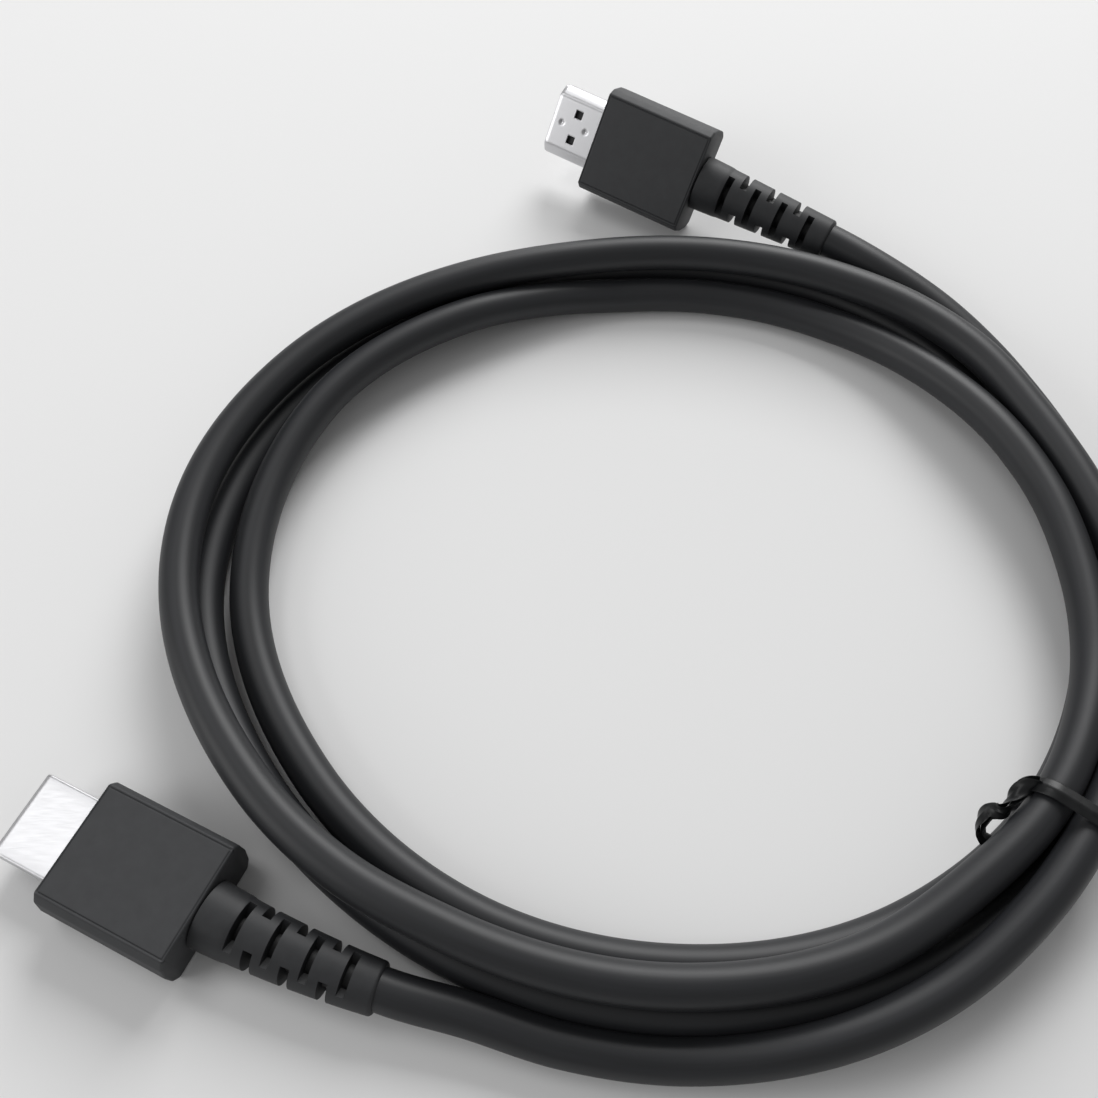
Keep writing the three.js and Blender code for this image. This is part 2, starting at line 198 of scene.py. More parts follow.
# %% Metal finishes
def plated(name, colour, roughness, line=0.12, depth=0.0015):
    """Plated strip: a noise stretched twenty times along X makes rolling lines line millimetres apart. The
    plugs lie 26 and 30 degrees off X. The turn follows the stretch, so it only picks another part of the
    noise."""
    material, shader = new_material(name, colour, Metallic=1.0, Roughness=roughness)
    place = add_node(material, "ShaderNodeTexCoord").outputs["Object"]
    along = {"Rotation": (0, 0, math.radians(26)), "Scale": (0.05, 1, 1)}
    stretched = add_node(material, "ShaderNodeMapping", inputs=along, Vector=place).outputs["Vector"]
    rolling = {"Scale": 1 / (line * MM), "Detail": 2}
    lines = add_node(material, "ShaderNodeTexNoise", inputs=rolling, Vector=stretched).outputs["Fac"]
    span = {"To Min": roughness - 0.06, "To Max": roughness + 0.1}
    gloss = add_node(material, "ShaderNodeMapRange", inputs=span, Value=lines)
    material.node_tree.links.new(gloss.outputs["Result"], shader.inputs["Roughness"])
    raised = {"Strength": 0.3, "Distance": depth * MM}
    bump = add_node(material, "ShaderNodeBump", inputs=raised, Height=lines)
    material.node_tree.links.new(bump.outputs["Normal"], shader.inputs["Normal"])
    return material


shell_nickel = plated("nickel_plated_steel_strip", "#c6c6c8", 0.32)
contact_gold = plated("gold_flashed_contact", "#d9b25c", 0.25, line=0.08)
print("materials:", len(bpy.data.materials))

# %% [markdown]
# ## The cable's route
# A coil is easiest to describe as a strand map. Each point of the route has an angle about the coil's centre,
# a lane counted outwards from the innermost turn and a level counted up from the floor. The same list of
# points made the solid, so the visible cable lies exactly where the solid does. Only the coil's centre is
# read from the frame.

# %% Route
CABLE = 6.5
PITCH = CABLE + 0.15
FLOOR_GAP = 0.1
TIE_ANGLE, TIE_LIFT, TIE_SPREAD = 323, 1.1, 26
INNER_RADII = np.array([71.6, 69.6, 66, 64.2, 65.6, 70.4, 70.9, 66.8, 64.3, 63.6, 65.9, 69.4])
ROUTE = np.array(
    [
        (236.9, 2.35, 0.26), (246, 1.96, 0.14), (256, 1.93, 0.03), (270, 1.93, 0.05), (285, 1.86, 0.52),
        (300, 1.6, 0.8), (312, 1.27, 0.97), (323, 1, 1), (345, 0.78, 0.97), (360, 0.55, 0.93),
        (372, 0.42, 0.95), (385, 0.47, 0.96), (397, 0.72, 1), (409, 0.85, 1), (420, 0.82, 1),
        (441, 0.74, 1), (463, 0.72, 1), (485, 1.02, 1), (507, 1.24, 1), (529, 1.57, 1),
        (545, 1.53, 1), (570, 1.28, 1), (585, 1.02, 1), (600, 0.72, 1), (630, 0.6, 0.96),
        (650, 0.45, 0.96), (668, 0.12, 1), (683, 0, 1), (702, -0.27, 0.97), (720, -0.57, 0.92),
        (732, -0.6, 0.92), (745, -0.57, 0.86), (757, -0.45, 0.62), (769, -0.2, 0.28), (780, -0.08, 0.09),
        (793, 0, 0.01), (815, 0, 0), (829, 0, 0.28), (843, 0, 0.6), (866, 0, 0.62),
        (885, 0, 0.36), (905, 0, 0.08), (925, 0, 0), (1060, 0, 0), (1090, 0, 0),
        (1105, 0.05, 0), (1117, 0.42, 0), (1129, 0.8, 0), (1140, 0.98, 0), (1152, 1.02, 0),
        (1180, 0.98, 0), (1203, 0.82, 0), (1226, 0.82, 0), (1245, 1.02, 0), (1262, 1.16, 0),
        (1285, 1.12, 0), (1310, 1, 0), (1350, 1, 0), (1403, 1, 0), (1425, 1.02, 0),
        (1440, 1.04, 0), (1452, 1.07, 0), (1461, 1.14, 0), (1470, 1.38, 0), (1478, 1.68, 0.06),
        (1487, 1.9, 0.34), (1497, 2.06, 0.68), (1504.4, 2.28, 0.85),
    ]
)


def catmull_rom(before, a, b, after, t):
    """The point at share t between a and b of the Catmull-Rom curve through four points."""
    bend = 2 * before - 5 * a + 4 * b - after + t * (3 * (a - b) + after - before)
    return a + 0.5 * t * (b - before + t * bend)


def inner_radius(degrees):
    """Catmull-Rom curve through the radii that stand 30 degrees apart."""
    count = len(INNER_RADII)
    position = (np.asarray(degrees, float) / 360 % 1) * count
    index = np.floor(position).astype(int)
    t = position - index
    return catmull_rom(*(INNER_RADII[(index + step) % count] for step in (-1, 0, 1, 2)), t)


def along_route(degrees, column):
    """Hermite curve through a column of the route; the slope at a point is that between its neighbours."""
    angles, values = ROUTE[:, 0], ROUTE[:, column]
    low = np.maximum(np.arange(len(ROUTE)) - 1, 0)
    high = np.minimum(np.arange(len(ROUTE)) + 1, len(ROUTE) - 1)
    slopes = (values[high] - values[low]) / (angles[high] - angles[low])
    index = np.clip(np.searchsorted(angles, degrees, side="right") - 1, 0, len(ROUTE) - 2)
    span = angles[index + 1] - angles[index]
    t = (degrees - angles[index]) / span
    eased = t * t * (3 - 2 * t)
    leave = t * (1 - t) ** 2 * span * slopes[index]
    arrive = t * t * (1 - t) * span * slopes[index + 1]
    return values[index] + (values[index + 1] - values[index]) * eased + leave - arrive


def route_points(degrees):
    """Points about the coil's centre: radius = inner radius + lane x pitch, height = level x pitch + lift."""
    degrees = np.atleast_1d(np.asarray(degrees, float))
    away = np.abs((degrees - TIE_ANGLE + 180) % 360 - 180) / TIE_SPREAD
    lift = TIE_LIFT * np.clip(1 - away**2, 0, None) ** 2
    radius = inner_radius(degrees) + along_route(degrees, 1) * PITCH
    height = FLOOR_GAP + CABLE / 2 + np.maximum(along_route(degrees, 2), 0) * PITCH + lift
    angle = np.radians(degrees)
    return np.stack([radius * np.cos(angle), radius * np.sin(angle), height], -1)


FINE_STATIONS, STATION_STEP = 6000, 1.6


def even_route(step):
    """The route's points about step millimetres apart: the angle is read where the run is k x step."""
    fine = np.linspace(ROUTE[0, 0], ROUTE[-1, 0], FINE_STATIONS)
    points = route_points(fine)
    run = np.concatenate([[0], np.cumsum(np.linalg.norm(np.diff(points, axis=0), axis=1))])
    count = int(round(run[-1] / step)) + 1
    return route_points(np.interp(np.linspace(0, run[-1], count), run, fine)), run[-1]


centreline, cable_length = even_route(STATION_STEP)
box_low, box_high = (np.array(corner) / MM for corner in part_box("cable_jacket"))
spans = np.array([centreline.min(0) - CABLE / 2, centreline.max(0) + CABLE / 2])
COIL_CENTRE = np.append(((box_low + box_high) / 2 - spans.mean(0))[:2], 0)
print("cable length mm:", round(cable_length, 1), "coil centre:", COIL_CENTRE.round(2))

# %% [markdown]
# ## Camera, floor and light
# The photo looks down at 60 degrees through a lens of about 41 mm, and the right edge of the frame cuts off
# a little of the coil. Four soft square lights stand round it. The key is behind the coil, high and a little
# to the right, so each turn has one satin stripe along its top and its shadow falls towards the camera. The
# window, high on the left, and the fill, lower on the left, lift the left sides. The wall is a wide low light
# far behind. A dim white world softens what is left. The view transform is Standard, which shows a colour as
# its code says, because a filmic one lifts blacks as deep as these.

# %% Camera, floor and light
CAMERA_FROM_COIL = np.array([-20, -102.06, 191.5])
CAMERA_DOWN = 60
SENSOR = 36
FOCAL_PIXELS, FRAME_PIXELS = 1254, 1098
LENS = FOCAL_PIXELS * SENSOR / FRAME_PIXELS

camera_data = bpy.data.cameras.new("camera")
camera_data.sensor_width = SENSOR
camera_data.lens = LENS
camera_data.clip_start = 0.01
camera_data.clip_end = 20
camera = bpy.data.objects.new("camera", camera_data)
camera.location = (COIL_CENTRE + CAMERA_FROM_COIL) * MM
camera.rotation_euler = (math.radians(90 - CAMERA_DOWN), 0, 0)
bpy.context.scene.collection.objects.link(camera)
bpy.context.scene.camera = camera


def area_light(name, from_coil, size, power):
    """A square soft light that points at the coil's centre; place and size are in millimetres."""
    data = bpy.data.lights.new(name, "AREA")
    data.size = size * MM
    data.energy = power
    lamp = bpy.data.objects.new(name, data)
    lamp.location = (COIL_CENTRE + from_coil) * MM
    lamp.rotation_euler = Vector(from_coil).to_track_quat("Z", "Y").to_euler()
    bpy.context.scene.collection.objects.link(lamp)


area_light("key", (300, 880, 700), 650, 9.8)
area_light("window", (-420, 206, 812), 350, 1)
area_light("fill", (-800, -200, 450), 500, 2.2)
area_light("wall", (150, 1300, 280), 900, 4)

world = bpy.data.worlds.new("studio")
world.use_nodes = True
world.node_tree.nodes["Background"].inputs["Color"].default_value = linear("#ffffff")
world.node_tree.nodes["Background"].inputs["Strength"].default_value = 0.31
bpy.context.scene.world = world
bpy.context.scene.view_settings.view_transform = "Standard"

FLOOR_HALF = 3000
floor_paper, _ = new_material("matte_paper_floor", "#e6e6e6", Roughness=0.9)
floor_mesh = bpy.data.meshes.new("floor")
floor_corners = np.array([(-1, -1, 0), (1, -1, 0), (1, 1, 0), (-1, 1, 0)]) * FLOOR_HALF * MM
floor_mesh.from_pydata(floor_corners.tolist(), [], [(0, 1, 2, 3)])
floor_mesh.materials.append(floor_paper)
floor = bpy.data.objects.new("floor", floor_mesh)
bpy.context.scene.collection.objects.link(floor)

# %% [markdown]
# ## The cable
# The jacket is a tube: a circle carried along the route. At each station the circle lies across the route,
# its first axis kept level, which never twists because the route never stands upright. A curve with a round
# bevel would look the same, but on a grid each point can carry its place on the straight cable. The tube runs
# two millimetres into each relief, as the cable does in the moulding.


# %% Tubes along a path
def frames_along(points):
    """Tangent, level side and third axis at each point: side = up x tangent, third = tangent x side."""
    tangent = np.gradient(points, axis=0)
    tangent /= np.linalg.norm(tangent, axis=1, keepdims=True)
    side = np.cross([0, 0, 1], tangent)
    side /= np.linalg.norm(side, axis=1, keepdims=True)
    return tangent, side, np.cross(tangent, side)


def tube(points, radius, around=36):
    """Points of a tube, point + radius (cos a side + sin a third), its faces with a fan at each end, and the
    same points on the tube laid straight: (run, radius cos a, radius sin a)."""
    _, side, third = frames_along(points)
    angle = np.linspace(0, 2 * np.pi, around, endpoint=False)
    cos, sin = radius * np.cos(angle)[None, :, None], radius * np.sin(angle)[None, :, None]
    surface = points[:, None] + side[:, None] * cos + third[:, None] * sin
    run = np.concatenate([[0], np.cumsum(np.linalg.norm(np.diff(points, axis=0), axis=1))])
    laid = np.concatenate(np.broadcast_arrays(run[:, None, None], cos, sin), -1)
    faces = list(grid_faces(len(points), around, closed=True))
    faces += [list(range(around))[::-1], list(range((len(points) - 1) * around, len(points) * around))]
    return surface.reshape(-1, 3), faces, laid.reshape(-1, 3)


TUCK = 2.0
path = centreline + COIL_CENTRE
start_way = (path[0] - path[1]) / np.linalg.norm(path[0] - path[1])
end_way = (path[-1] - path[-2]) / np.linalg.norm(path[-1] - path[-2])
path = np.vstack([path[0] + TUCK * start_way, path, path[-1] + TUCK * end_way])
points, faces, laid = tube(path, CABLE / 2)
cable = make_piece("cable", points, faces, jacket_pvc, ("cable_jacket",),
                   carried={"laid_straight": laid * MM})
weld_and_turn_out(cable)

# %% [markdown]
# ## Where the plugs are
# Each plug leaves the end of the cable with the cable's own heading. Its relief bends sideways to a small
# arc, its nose may rise, and the whole plug may be rolled about its axis. Drawing the pieces where they lie
# would be hard, so they are drawn straight, along +X and wide side up, and a plug then carries points from
# that frame to their place.

# %% Plug frames
SEAT_GAP = 0.3
RELIEF_LENGTH = 28
HOUSING_LENGTH = 22.6


def turn(axis, degrees):
    """Rotation matrix about X, Y or Z."""
    c, s = math.cos(math.radians(degrees)), math.sin(math.radians(degrees))
    turned = {"X": [[1, 0, 0], [0, c, -s], [0, s, c]], "Y": [[c, 0, s], [0, 1, 0], [-s, 0, c]]}
    turned["Z"] = [[c, -s, 0], [s, c, 0], [0, 0, 1]]
    return np.array(turned[axis])


class Plug:
    """Carries points from a straight plug to its place at one end of the cable."""

    def __init__(self, name, angle, inwards, bend, rise, roll):
        here, behind = route_points([angle, angle + inwards])
        heading = math.degrees(math.atan2(here[1] - behind[1], here[0] - behind[0]))
        self.name = name
        self.end = here + COIL_CENTRE
        self.turned = turn("Z", heading) @ turn("Y", -rise)
        self.roll = turn("X", roll)
        self.bend = bend
        self.radius = RELIEF_LENGTH / math.radians(bend)

    def relief(self, points):
        """Points whose x runs from the relief's mouth to its root are rolled, bent, turned and moved. The
        bend, with a = x / radius, is ((radius - y) sin a, radius - (radius - y) cos a, z)."""
        x, y, z = (np.asarray(points) @ self.roll.T).T
        angle = x / self.radius
        arm = self.radius - y
        bent = [arm * np.sin(angle) + SEAT_GAP, self.radius - arm * np.cos(angle), z]
        return np.stack(bent, -1) @ self.turned.T + self.end

    def head(self, points):
        """Points about the middle of the housing's front face, +X to the nose."""
        moved = np.asarray(points) @ self.roll.T + [SEAT_GAP + HOUSING_LENGTH, 0, 0]
        root = [SEAT_GAP + self.radius * math.sin(math.radians(self.bend)), 0, 0]
        root[1] = self.radius * (1 - math.cos(math.radians(self.bend)))
        return (moved @ turn("Z", self.bend).T + root) @ self.turned.T + self.end


plugs = [Plug("near", ROUTE[0, 0], 1, -8, 0, 0), Plug("far", ROUTE[-1, 0], -1, 1.2, 3.4, 126.5)]
for plug in plugs:
    print(plug.name, "front face at", plug.head([[0, 0, 0]])[0].round(2))

# %% [markdown]
# ## Strain reliefs
# A relief is one soft moulding that grips the cable and thins towards it. Four long slots above and below
# alternate with three pairs of notches at the sides, so it bends evenly instead of kinking. The surface is a
# radius over the length and the angle: the taper outside the cuts, and a thin core inside them. Booleans
# could cut it, but the grid has a line on each edge and at each end of every cut, which keeps them crisp with
# few faces.

# %% Strain relief surfaces
RELIEF_ROOT, RELIEF_MOUTH, RELIEF_FLATNESS = 5.2, 3.95, 0.93
CUTS, FIRST_CUT, CUT_PITCH, CUT_EDGE, CORE = 4, 5.5, 5.8, 0.08, 2.3
MOUTH_EDGE, COLLAR, COLLAR_RISE = 0.6, 0.12, 0.6
# Widths are in millimetres. Reaches, and the edge at the ends of a cut, are in degrees round the relief.
SLOT_WIDTH, SLOT_REACH = 1.15, 50
NOTCH_WIDTH, NOTCH_REACH = 1.3, 56
END_EDGE = 0.8


def smooth_step(x):
    """0 below 0, 1 above 1 and 3 x^2 - 2 x^3 between."""
    x = np.clip(x, 0, 1)
    return x * x * (3 - 2 * x)


def relief_points():
    """radius(x, a) = taper(x) - rounding at the mouth + collar at the root, and CORE in the cuts. A cut is a
    range of x times a range of angle about its middle and about the opposite side. With the points comes how
    far each lies in a cut, from 0 to 1; the material darkens the cuts by it, as painted shade."""
    first = RELIEF_LENGTH - FIRST_CUT
    cuts = [(first - k * CUT_PITCH, SLOT_WIDTH, 90, SLOT_REACH) for k in range(CUTS)]
    cuts += [(first - (k + 0.5) * CUT_PITCH, NOTCH_WIDTH, 0, NOTCH_REACH) for k in range(CUTS - 1)]
    edges = [high + step for high, width, _, _ in cuts for step in (-width - CUT_EDGE, -width, 0, CUT_EDGE)]
    mouth, body = np.linspace(0, MOUTH_EDGE, 10), np.linspace(MOUTH_EDGE, RELIEF_LENGTH, 60)
    lines = np.unique(np.concatenate([mouth, body, edges]).round(3))
    ends = [middle + half + side * (reach + step) for _, _, middle, reach in cuts for half in (0, 180)
            for side in (-1, 1) for step in (0, END_EDGE)]
    columns = np.unique(np.concatenate([np.arange(0, 360, 2.5), np.array(ends) % 360]).round(3))
    x, degrees = np.meshgrid(lines, columns, indexing="ij")
    taper = RELIEF_MOUTH + (RELIEF_ROOT - RELIEF_MOUTH) * x / RELIEF_LENGTH
    rounding = MOUTH_EDGE * (1 - np.sqrt(1 - np.clip(1 - x / MOUTH_EDGE, 0, 1) ** 2))
    collar = COLLAR * smooth_step((x - first) / COLLAR_RISE)
    radius = taper - rounding + collar
    cut = np.zeros_like(x)
    for high, width, middle, reach in cuts:
        along = np.clip(1 - (np.abs(x - high + width / 2) - width / 2) / CUT_EDGE, 0, 1)
        beside = np.abs((degrees - middle + 90) % 180 - 90)
        cut = np.maximum(cut, along * np.clip(1 - (beside - reach) / END_EDGE, 0, 1))
    radius = radius + (CORE - radius) * cut
    angle = np.radians(degrees)
    return np.stack([x, radius * np.cos(angle), radius * np.sin(angle) * RELIEF_FLATNESS], -1), cut


relief_grid, relief_cut = relief_points()
rows, around = relief_grid.shape[:2]
relief_faces = list(grid_faces(rows, around, closed=True))
relief_faces += [list(range(around))[::-1], list(range((rows - 1) * around, rows * around))]
for plug in plugs:
    node = f"{plug.name}_strain_relief"
    placed = plug.relief(relief_grid.reshape(-1, 3))
    made = make_piece(f"{plug.name}_relief", placed, relief_faces, relief_pvc, (node,),
                      flat_angle=50, carried={"cut": relief_cut.ravel()})
    weld_and_turn_out(made)
print("relief:", rows, "x", around, "points")

# %% [markdown]
# ## Housings
# The hard overmould has a flat face above and below, framed by a fine groove, and sides that bulge a little
# in two facets. A bevelled box with an inset face would do for the faces but not for the facets, so it is a
# section carried along the plug, drawn in at both ends for the rounded edges. The groove is pressed into the
# flat faces: its depth depends on the distance to the face's nearest edge.

# %% Housing surfaces
FACE_HALF, SHOULDER_HALF, WAIST_HALF, THICK_HALF, SHOULDER_DROP = 9.2, 10.15, 10.5, 5.0, 1.6
EDGE, CORNER, FLAT_MARGIN = 0.45, 0.3, 0.1
GROOVE_FROM_EDGE, GROOVE_HALF, GROOVE_DEPTH = 0.42, 0.2, 0.16
# The grid is fine this near to a face's edges, and this wide between.
FINE_WITHIN, WIDE_STEP = 1.2, 1.6


def fillet(corners, radius, steps=4):
    """An open chain of points with its inner corners rounded by quadratic curves radius long on each side."""
    corners = np.array(corners, float)
    points = [corners[0]]
    for before, corner, after in zip(corners[:-2], corners[1:-1], corners[2:]):
        start = corner + (before - corner) / np.linalg.norm(before - corner) * radius
        stop = corner + (after - corner) / np.linalg.norm(after - corner) * radius
        t = np.linspace(0, 1, steps + 1)[:, None]
        points += list((1 - t) ** 2 * start + 2 * t * (1 - t) * corner + t**2 * stop)
    return np.array(points + [corners[-1]])


def near_both_ends(length, near, far_step):
    """Values from 0 to length, fine within near of both ends and far_step apart between."""
    fine = np.linspace(0, near, 16)
    middle = np.linspace(near, length - near, max(2, int((length - 2 * near) / far_step)))
    return np.unique(np.concatenate([fine, middle, length - fine]).round(6))


def housing_points():
    """section(s) scaled by the inset at x, then lowered on the flat faces by the groove."""
    flat_half, shoulder = FACE_HALF - FLAT_MARGIN, THICK_HALF - SHOULDER_DROP
    corners = [(flat_half, THICK_HALF), (FACE_HALF, THICK_HALF), (SHOULDER_HALF, shoulder), (WAIST_HALF, 0),
               (SHOULDER_HALF, -shoulder), (FACE_HALF, -THICK_HALF), (flat_half, -THICK_HALF)]
    side = fillet(corners, CORNER)
    across = flat_half - near_both_ends(2 * flat_half, FINE_WITHIN, WIDE_STEP)[1:-1]
    under = np.stack([across, np.full_like(across, -THICK_HALF)], -1)
    section = np.concatenate([side, under, -side, -under])
    along = near_both_ends(HOUSING_LENGTH, FINE_WITHIN, WIDE_STEP)
    depth_in = np.clip(1 - along / EDGE, 0, 1), np.clip(1 - (HOUSING_LENGTH - along) / EDGE, 0, 1)
    inset = EDGE * (1 - np.sqrt(1 - np.maximum(*depth_in) ** 2))
    y = section[None, :, 0] * (1 - inset / WAIST_HALF)[:, None]
    z = section[None, :, 1] * (1 - inset / THICK_HALF)[:, None]
    x = np.broadcast_to(-along[:, None], y.shape)
    to_side = FACE_HALF - np.abs(section[None, :, 0]) + 0 * x
    to_end = np.minimum(along, HOUSING_LENGTH - along)[:, None] + 0 * x
    reach = [np.clip(1 - np.abs(d - GROOVE_FROM_EDGE) / GROOVE_HALF, 0, 1) for d in (to_side, to_end)]
    inside = (to_side > GROOVE_FROM_EDGE - GROOVE_HALF) & (to_end > GROOVE_FROM_EDGE - GROOVE_HALF)
    on_face = inside & (np.abs(section[None, :, 1]) > THICK_HALF - 0.01)
    sunk = GROOVE_DEPTH * smooth_step(np.maximum(*reach)) * on_face
    return np.stack([x, y, z - np.sign(z) * sunk], -1)


housing_grid = housing_points()
rows, around = housing_grid.shape[:2]
housing_faces = list(grid_faces(rows, around, closed=True))
housing_faces += [list(range(around))[::-1], list(range((rows - 1) * around, rows * around))]
for plug in plugs:
    placed = plug.head(housing_grid.reshape(-1, 3))
    made = make_piece(f"{plug.name}_overmould", placed, housing_faces, housing_abs,
                      (f"{plug.name}_housing",), flat_angle=35)
    weld_and_turn_out(made)
print("housing:", rows, "x", around, "points")

# %% [markdown]
# ## Shells
# The shell is one strip folded to a tube, with small radii at its folds. Its narrow side has two latch
# windows and two pressed dimples, and its wide side is plain. The outside is a grid over the shell's girth
# and its length, whose lines run along the windows' edges, so that the windows are left out as whole faces
# and need no boolean. A Solidify modifier gives the strip its 0.35 mm.

# %% Shell surfaces
SHELL_HALF, SHELL_UP, SHELL_CUT, SHELL_WALL, SHELL_REACH, SHELL_ROOT = 6.95, 2.225, 1.85, 0.35, 10.5, 2.8
WINDOW_HALF, WINDOW_APART, WINDOW_AT = 0.8, 2.6, 5.3
FOLD, LIP, LIP_LENGTH = 0.55, 0.1, 0.6
# Lines stand this far apart, and stop on the sides before the narrow side's folds begin, at 4.55 mm.
GRID_STEP, LINES_END = 0.2, 4.5
DIMPLES, DIMPLE_RADIUS, DIMPLE_DEPTH = (2.9, 8.3), 0.7, 0.25


def shell_section():
    """Half of the girth, from the middle above round the right to the middle below, and its mirror image."""
    corner = [(0, SHELL_UP), (SHELL_HALF, SHELL_UP), (SHELL_HALF, SHELL_CUT - SHELL_UP),
              (SHELL_HALF - SHELL_CUT, -SHELL_UP), (0, -SHELL_UP)]
    bends = fillet(corner, FOLD, steps=5)[1:-1]
    window = WINDOW_APART + WINDOW_HALF * np.array([-1, 1])
    lines = np.unique(np.concatenate([np.arange(0, LINES_END, GRID_STEP), window]).round(4))
    top = np.stack([lines, np.full_like(lines, SHELL_UP)], -1)
    right = np.concatenate([top, bends, (top * [1, -1])[::-1]])
    left = (right * [-1, 1])[::-1][1:-1]
    return np.concatenate([right, left])


def shell_sheet():
    """Points and faces of the outside, without the faces in the windows; dimples are cosine dents."""
    section = shell_section()
    edges = WINDOW_AT + WINDOW_HALF * np.array([-1, 1])
    steps = np.arange(-SHELL_ROOT, SHELL_REACH, GRID_STEP)
    along = np.unique(np.concatenate([steps, edges, [SHELL_REACH]]).round(4))
    x, s = np.meshgrid(along, np.arange(len(section)), indexing="ij")
    y, z = section[s, 0], section[s, 1]
    lip = LIP * smooth_step((x - SHELL_REACH + LIP_LENGTH) / LIP_LENGTH)
    dent = np.zeros_like(x)
    for at in DIMPLES:
        away = np.clip(np.hypot(x - at, y) / DIMPLE_RADIUS, 0, 1)
        dent += DIMPLE_DEPTH * 0.5 * (1 + np.cos(np.pi * away)) * (z < 0.01 - SHELL_UP)
    points = np.stack([x, y * (1 - lip / SHELL_HALF), z * (1 - lip / SHELL_UP) + dent], -1)
    faces = grid_faces(len(along), len(section), closed=True)
    middle = points.reshape(-1, 3)[faces].mean(1)
    in_window = (np.abs(middle[:, 0] - WINDOW_AT) < WINDOW_HALF) & (middle[:, 2] < 0.3 - SHELL_UP)
    in_window &= np.abs(np.abs(middle[:, 1]) - WINDOW_APART) < WINDOW_HALF
    return points.reshape(-1, 3), faces[~in_window]


shell_points, shell_faces = shell_sheet()
for plug in plugs:
    shell = make_piece(f"{plug.name}_shell_strip", plug.head(shell_points), shell_faces, shell_nickel,
                       (f"{plug.name}_shell",), flat_angle=50)
    weld_and_turn_out(shell)
    wall = shell.modifiers.new("wall", "SOLIDIFY")
    wall.thickness = SHELL_WALL * MM
    wall.offset = -1
print("shell:", len(shell_faces), "faces outside")

# %% [markdown]
# ## Insulator and contacts
# The black block in the shell keeps its solid and only takes a finish. Nineteen gold contacts lie in the
# slot's roof and floor, ten above and nine below, one millimetre apart. Each is a small strip whose front end
# is ramped, so that the socket's tongue slides over it.

# %% Contacts
CONTACT_PITCH, CONTACT_HALF_WIDTH, CONTACT_RISE = 1.0, 0.2, 0.22
SLOT_UP, SLOT_FRONT = 0.85, 9.8


def contact_strips():
    """Each contact is an extruded profile: flat on the slot's wall, raised in the middle, ramped at its nose.
    Its corners are (x from the slot's front, height in shares of CONTACT_RISE)."""
    corners = [(-7.3, 0), (-6.6, 1), (-2.2, 1), (-1.2, 0.15), (-1.0, -0.4), (-7.3, -0.4)]
    profile = np.array(corners) * [1, CONTACT_RISE]
    points, faces = [], []
    for up, count in ((1, 10), (-1, 9)):
        for k in range(count):
            middle = (k - (count - 1) / 2) * CONTACT_PITCH
            first = len(points) * 2 * len(profile)
            x, rise = SLOT_FRONT + profile[:, 0], up * (SLOT_UP - profile[:, 1])
            sides = [np.stack([x, np.full_like(x, middle + side), rise], -1)
                     for side in (-CONTACT_HALF_WIDTH, CONTACT_HALF_WIDTH)]
            points.append(np.concatenate(sides))
            n = len(profile)
            faces += [[first + k for k in range(n)], [first + n + k for k in range(n)][::-1]]
            faces += [[first + k, first + (k + 1) % n, first + n + (k + 1) % n, first + n + k]
                      for k in range(n)]
    return np.concatenate(points), faces


contact_points, contact_faces = contact_strips()
for plug in plugs:
    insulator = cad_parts[f"{plug.name}_insulator"]
    insulator.data.materials.clear()
    insulator.data.materials.append(insulator_lcp)
    contacts = make_piece(f"{plug.name}_contacts", plug.head(contact_points), contact_faces, contact_gold,
                          flat_angle=20)
    weld_and_turn_out(contacts, 0.0001)
print("contacts:", len(contact_faces) // 8, "in each plug")

# %% [markdown]
# ## Twist tie
# A twist tie is a flat PVC ribbon with a soft wire along its middle. It goes once round the four strands,
# pulled tight, and its two ends are twisted together on the inner side of the coil, where they form a small
# knot that leans back along the cable. Loop and ends share one section: a thin flat oval with a ridge over
# the wire. The ribbon's path gives a centre, the way out of the bundle and the way across the ribbon.

# %% Twist tie surfaces
TIE_WIDTH, TIE_THICK, TIE_CLEARANCE = 2.8, 0.6, 0.4
END_WIDTH, END_NARROWS, END_SPREAD, END_TURNS = 2.6, 0.15, 0.4, 1.3
# The knot's axis in the tie's own frame: outwards, up, back along the cable.
KNOT_AXIS = [(-6.4, 5.6, -0.6), (-7.9, 5.1, 1.6), (-8.2, 4.2, 3.8), (-8.6, 3.2, 5.6), (-10, 2, 6.4),
             (-10, 0.4, 7.6), (-9.2, -0.9, 8.6), (-7.7, -1.8, 8.8)]


def ribbon(centre, out, across, width, thick=TIE_THICK, around=20, closed=False):
    """Points and faces: centre + across (width/2) cos a + out (thick/2) sin a (0.6 + 0.7 exp(-9 cos^2 a))."""
    a = np.linspace(0, 2 * np.pi, around, endpoint=False)
    high = np.sin(a) * (0.6 + 0.7 * np.exp(-9 * np.cos(a) ** 2)) * thick / 2
    half = np.broadcast_to(np.asarray(width, float) / 2, len(centre))
    wide = across[:, None] * (half[:, None] * np.cos(a))[..., None]
    points = centre[:, None] + wide + out[:, None] * high[:, None]
    rows = len(centre)
    faces = list(grid_faces(rows, around, closed=True))
    if closed:
        last = (rows - 1) * around
        faces += [[last + k, last + (k + 1) % around, (k + 1) % around, k] for k in range(around)]
    else:
        faces += [list(range(around))[::-1], list(range((rows - 1) * around, rows * around))]
    return points.reshape(-1, 3), faces


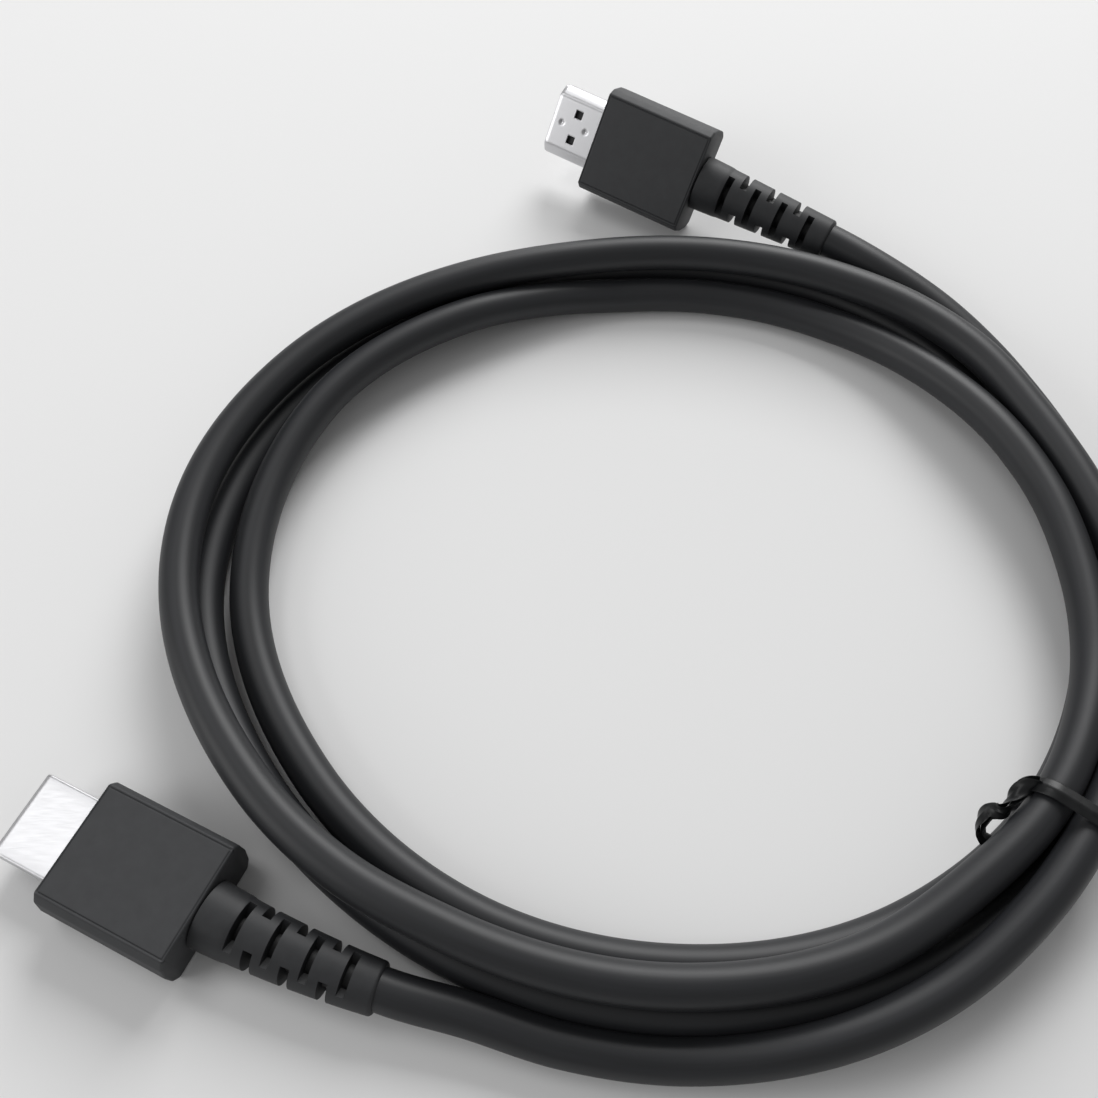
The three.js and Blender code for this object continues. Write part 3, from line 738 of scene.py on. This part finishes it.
def tie_loop():
    """A square with round corners about the four strands: corner arcs of one radius about each strand."""
    half, radius = PITCH / 2, CABLE / 2 + TIE_CLEARANCE + TIE_THICK / 2
    corners = [(half, half), (-half, half), (-half, -half), (half, -half)]
    arcs, outs = [], []
    for quarter, (x, y) in enumerate(corners):
        a = np.pi / 2 * quarter + np.linspace(0, np.pi / 2, 14)
        way = np.stack([np.cos(a), np.sin(a)], -1)
        arcs.append(np.array([x, y]) + radius * way)
        outs.append(way)
    centre, out = (np.pad(np.concatenate(part), ((0, 0), (0, 1))) for part in (arcs, outs))
    return ribbon(centre, out, np.tile([0.0, 0.0, 1.0], (len(centre), 1)), TIE_WIDTH, closed=True)


def tie_end(phase, share):
    """A ribbon wound round a curved axis: centre = axis + spread (cos p first + sin p second), where p grows
    by END_TURNS whole turns over the axis. The winding's own direction is the ribbon's way out."""
    through = np.array(KNOT_AXIS, float)
    through = np.vstack([2 * through[0] - through[1], through, 2 * through[-1] - through[-2]])
    position = np.linspace(0, (len(KNOT_AXIS) - 1) * share, 140)
    index = np.minimum(position.astype(int), len(KNOT_AXIS) - 2)
    axis = catmull_rom(*(through[index + step] for step in range(4)), (position - index)[:, None])
    # frames_along takes z as up and the tie has y up, so the axes change places before it and back after.
    tangent, first, second = frames_along(axis[:, [2, 0, 1]])
    tangent, first, second = (way[:, [1, 2, 0]] for way in (tangent, first, second))
    run = np.concatenate([[0], np.cumsum(np.linalg.norm(np.diff(axis, axis=0), axis=1))])
    p = (phase + 2 * np.pi * END_TURNS * run / run[-1] * share)[:, None]
    out = np.cos(p) * first + np.sin(p) * second
    width = END_WIDTH * (1 - END_NARROWS * run / run[-1])
    return ribbon(axis + END_SPREAD * out, out, np.cross(tangent, out), width)


def tie_place(points):
    """From the tie's own frame (outwards, up, back along the cable) to its place."""
    angle = math.radians(TIE_ANGLE)
    outward = np.array([math.cos(angle), math.sin(angle), 0])
    up = np.array([0, 0, 1.0])
    radius = float(inner_radius(TIE_ANGLE)) + PITCH / 2
    centre = COIL_CENTRE + radius * outward + up * (FLOOR_GAP + CABLE / 2 + TIE_LIFT + PITCH / 2)
    return points @ np.array([outward, up, np.cross(outward, up)]) + centre


loop_points, loop_faces = tie_loop()
tie = make_piece("tie_ribbon", tie_place(loop_points), loop_faces, tie_pvc, ("twist_tie",),
                 flat_angle=60)
weld_and_turn_out(tie)
for number, share in ((1, 1.0), (2, 0.86)):
    points, faces = tie_end(number * np.pi, share)
    weld_and_turn_out(make_piece(f"tie_end_{number}", tie_place(points), faces, tie_pvc))
print("tie: loop of", len(loop_faces), "faces and two ends")
